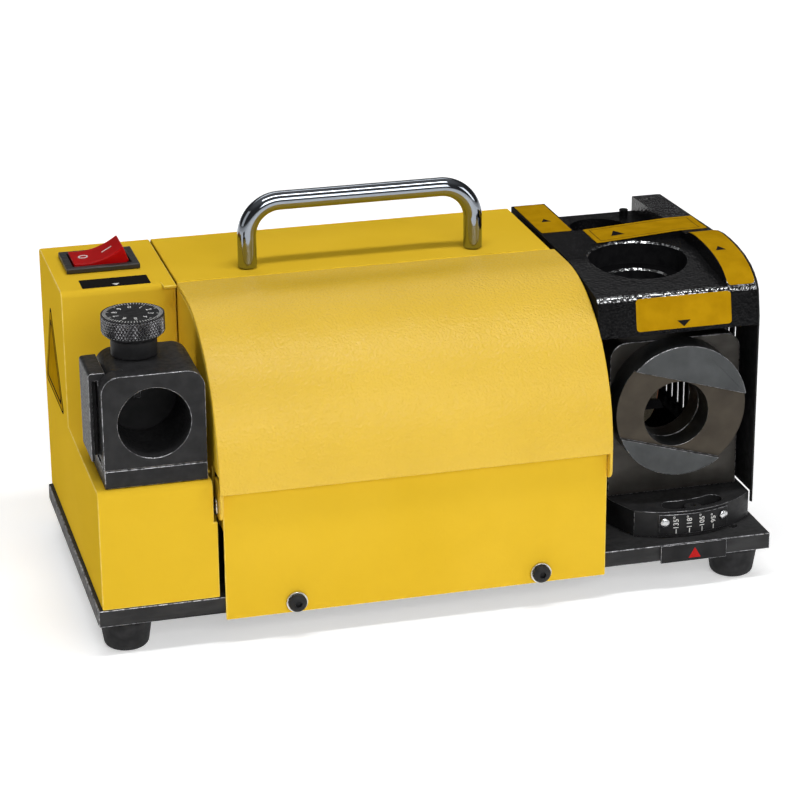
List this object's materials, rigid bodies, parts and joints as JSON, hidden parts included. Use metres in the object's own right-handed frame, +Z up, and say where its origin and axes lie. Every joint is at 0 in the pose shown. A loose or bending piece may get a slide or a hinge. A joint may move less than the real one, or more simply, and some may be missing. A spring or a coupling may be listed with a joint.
{
  "type": "drill bit sharpener",
  "caption": "Bench grinder for twist drills with an angle-setting seat, a chuck-setting fixture with a dial, a hinged collet lid and a carry handle.",
  "frame": {"origin": "centre of the overall box, on the bench under the rubber feet", "axes": "+X towards the grinding head on the operator's right, +Y towards the back, +Z up"},
  "size_m": [0.32, 0.1746, 0.181],
  "materials": {
    "yellow_paint": "fine orange-peel powder coat",
    "black_paint": "glossy black crinkle paint",
    "black_steel": "black-oxide machined steel with light worn edges",
    "dark_steel": "darkened machined steel with tool marks",
    "bright_steel": "zinc-plated or bright steel",
    "chrome": "polished chrome plate",
    "rubber": "matt black rubber",
    "black_plastic": "moulded black plastic",
    "red_plastic": "translucent red rocker plastic",
    "aluminium": "cast aluminium",
    "wheel": "copper-toned wheel body with abrasive rim",
    "rack": "black moulded rack"
  },
  "bodies": {
    "machine": {"base_plate": "black_steel", "foot_front_left": "rubber", "foot_front_right": "rubber", "foot_rear_left": "rubber", "foot_rear_right": "rubber", "foot_screw_front_left": "bright_steel", "foot_screw_front_right": "bright_steel", "foot_screw_rear_left": "bright_steel", "foot_screw_rear_right": "bright_steel", "left_housing": "yellow_paint", "inner_cheek": "yellow_paint", "switch_housing": "black_plastic", "cable_gland": "black_plastic", "setting_base": "black_steel", "setting_block": "black_steel", "side_gib": "black_steel", "center_cover": "yellow_paint", "front_skirt": "yellow_paint", "carry_handle": "chrome", "lid_pivot_left": "bright_steel", "lid_pivot_right": "bright_steel", "skirt_washer_left": "bright_steel", "skirt_washer_right": "bright_steel", "skirt_screw_left": "black_steel", "skirt_screw_right": "black_steel", "rear_screw_left": "black_steel", "rear_screw_right": "black_steel", "handle_screw_left": "black_steel", "handle_screw_right": "black_steel", "collet_rack": "rack", "motor_cradle": "aluminium", "motor_shell": "black_paint", "motor_cap_drive": "aluminium", "motor_cap_rear": "aluminium", "bearing_drive": "bright_steel", "bearing_rear": "bright_steel", "wheel_housing": "black_paint", "side_cover": "black_paint", "side_cover_screw_1": "black_steel", "side_cover_screw_2": "black_steel", "side_cover_screw_3": "black_steel", "pivot_pin": "bright_steel", "clamp_screw": "black_steel", "index_plate": "black_paint"},
    "lid": {"curved_lid": "yellow_paint"},
    "spindle": {"shaft": "bright_steel", "rotor_core": "dark_steel", "cooling_fan": "black_plastic", "grinding_wheel": "wheel", "wheel_flange": "bright_steel", "wheel_nut": "bright_steel"},
    "seat": {"swivel_base": "black_steel", "seat_block": "dark_steel", "seat_flange": "dark_steel", "scale_plate": "black_paint", "scale_screw_left": "bright_steel", "scale_screw_right": "bright_steel"},
    "dial": {"dial_knob": "black_steel"},
    "web_stop": {"web_blade": "bright_steel"},
    "rocker": {"rocker_button": "red_plastic"}
  },
  "joints": [
    {"name": "lid_hinge", "type": "hinge", "parent": "machine", "child": "lid", "pos_m": [-0.01265, -0.0782, 0.0665], "axis": [1, 0, 0], "range_deg": [0, 100]},
    {"name": "spindle_spin", "type": "hinge", "parent": "machine", "child": "spindle", "pos_m": [0.117, 0.0123, 0.082], "axis": [1, 0, 0], "continuous": true},
    {"name": "seat_swivel", "type": "hinge", "parent": "machine", "child": "seat", "pos_m": [0.1213, -0.0237, 0.036], "axis": [0, 0, 1], "range_deg": [-11.5, 7]},
    {"name": "dial_turn", "type": "hinge", "parent": "machine", "child": "dial", "pos_m": [-0.1338, -0.0497, 0.14], "axis": [0, 0, -1], "range_deg": [0, 300]},
    {"name": "web_stop_slide", "type": "slide", "parent": "machine", "child": "web_stop", "axis": [0, 0, -1], "range_m": [0, 0.0017]},
    {"name": "rocker_tilt", "type": "hinge", "parent": "machine", "child": "rocker", "pos_m": [-0.134, 0.0423, 0.1463], "axis": [0, 1, 0], "range_deg": [0, 30]}
  ],
  "couplings": [
    {"joint": "web_stop_slide", "follows": "dial_turn", "m_per_rad": 0.0003183}
  ]
}
